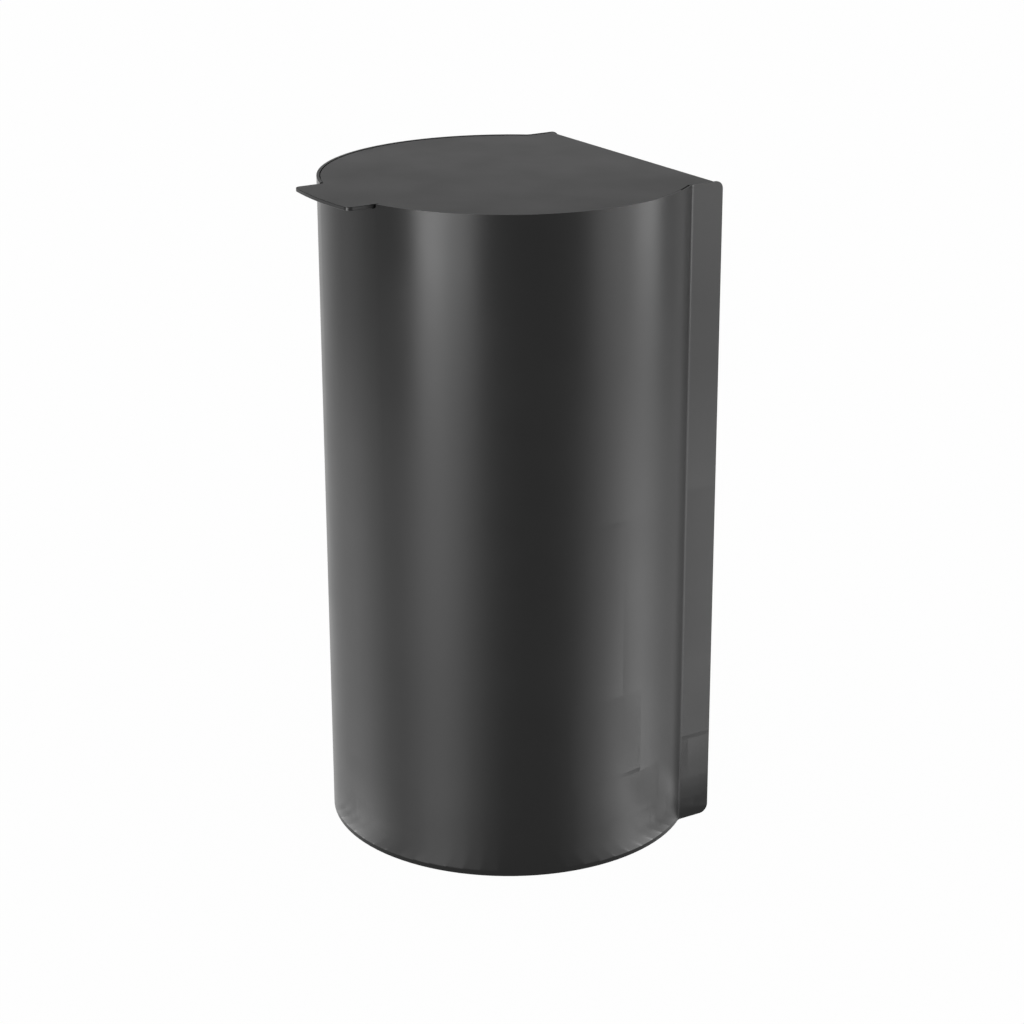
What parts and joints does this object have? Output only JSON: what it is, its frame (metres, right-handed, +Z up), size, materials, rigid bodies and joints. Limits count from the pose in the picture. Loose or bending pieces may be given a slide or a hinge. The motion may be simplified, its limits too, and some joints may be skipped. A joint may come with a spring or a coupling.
{
  "type": "wall-hung waste bin",
  "caption": "Round-fronted wall-hung waste bin in folded black sheet steel, with a flush hinged lid, a pull tab over the rim and a lift-out bag ring inside.",
  "frame": {"origin": "underside of the base, on the axis of the round front", "axes": "+Z up, -Y the round front with the pull tab, +Y the flat back towards the wall, +X the right side seen from the front"},
  "size_m": [0.26, 0.2537, 0.4685],
  "materials": {
    "powder_coat": "satin black powder coat",
    "stainless_steel": "brushed stainless strip and rod",
    "zinc_plate": "bright zinc-plated strip",
    "rivet_steel": "plain steel rivets",
    "black_nylon": "moulded nylon",
    "black_rubber": "moulded rubber"
  },
  "bodies": {
    "bin": {"shell": "powder_coat", "back_channel": "powder_coat", "base_plate": "powder_coat", "hinge_bracket_left": "powder_coat", "hinge_bracket_right": "powder_coat", "ring_bracket_left": "powder_coat", "ring_bracket_right": "powder_coat", "ring_bracket_rear": "powder_coat", "lid_rest_left": "powder_coat", "lid_rest_right": "powder_coat", "hanger": "powder_coat", "lower_stay": "powder_coat", "wall_rail": "zinc_plate", "hinge_rod": "stainless_steel", "hinge_rivets": "rivet_steel", "rod_caps": "black_nylon", "access_plug": "black_nylon", "lid_buffers": "black_rubber"},
    "lid": {"lid": "powder_coat", "hinge_ear_left": "powder_coat", "hinge_ear_right": "powder_coat", "hinge_bush_left": "black_nylon", "hinge_bush_right": "black_nylon"},
    "ring": {"bag_ring": "stainless_steel"}
  },
  "joints": [
    {"name": "lid_hinge", "type": "hinge", "parent": "bin", "child": "lid", "pos_m": [0, 0.09203, 0.4593], "axis": [-1, 0, 0], "range_deg": [0, 91]},
    {"name": "ring_lift", "type": "slide", "parent": "bin", "child": "ring", "axis": [0, 0, 1], "range_m": [0, 0.045]}
  ]
}
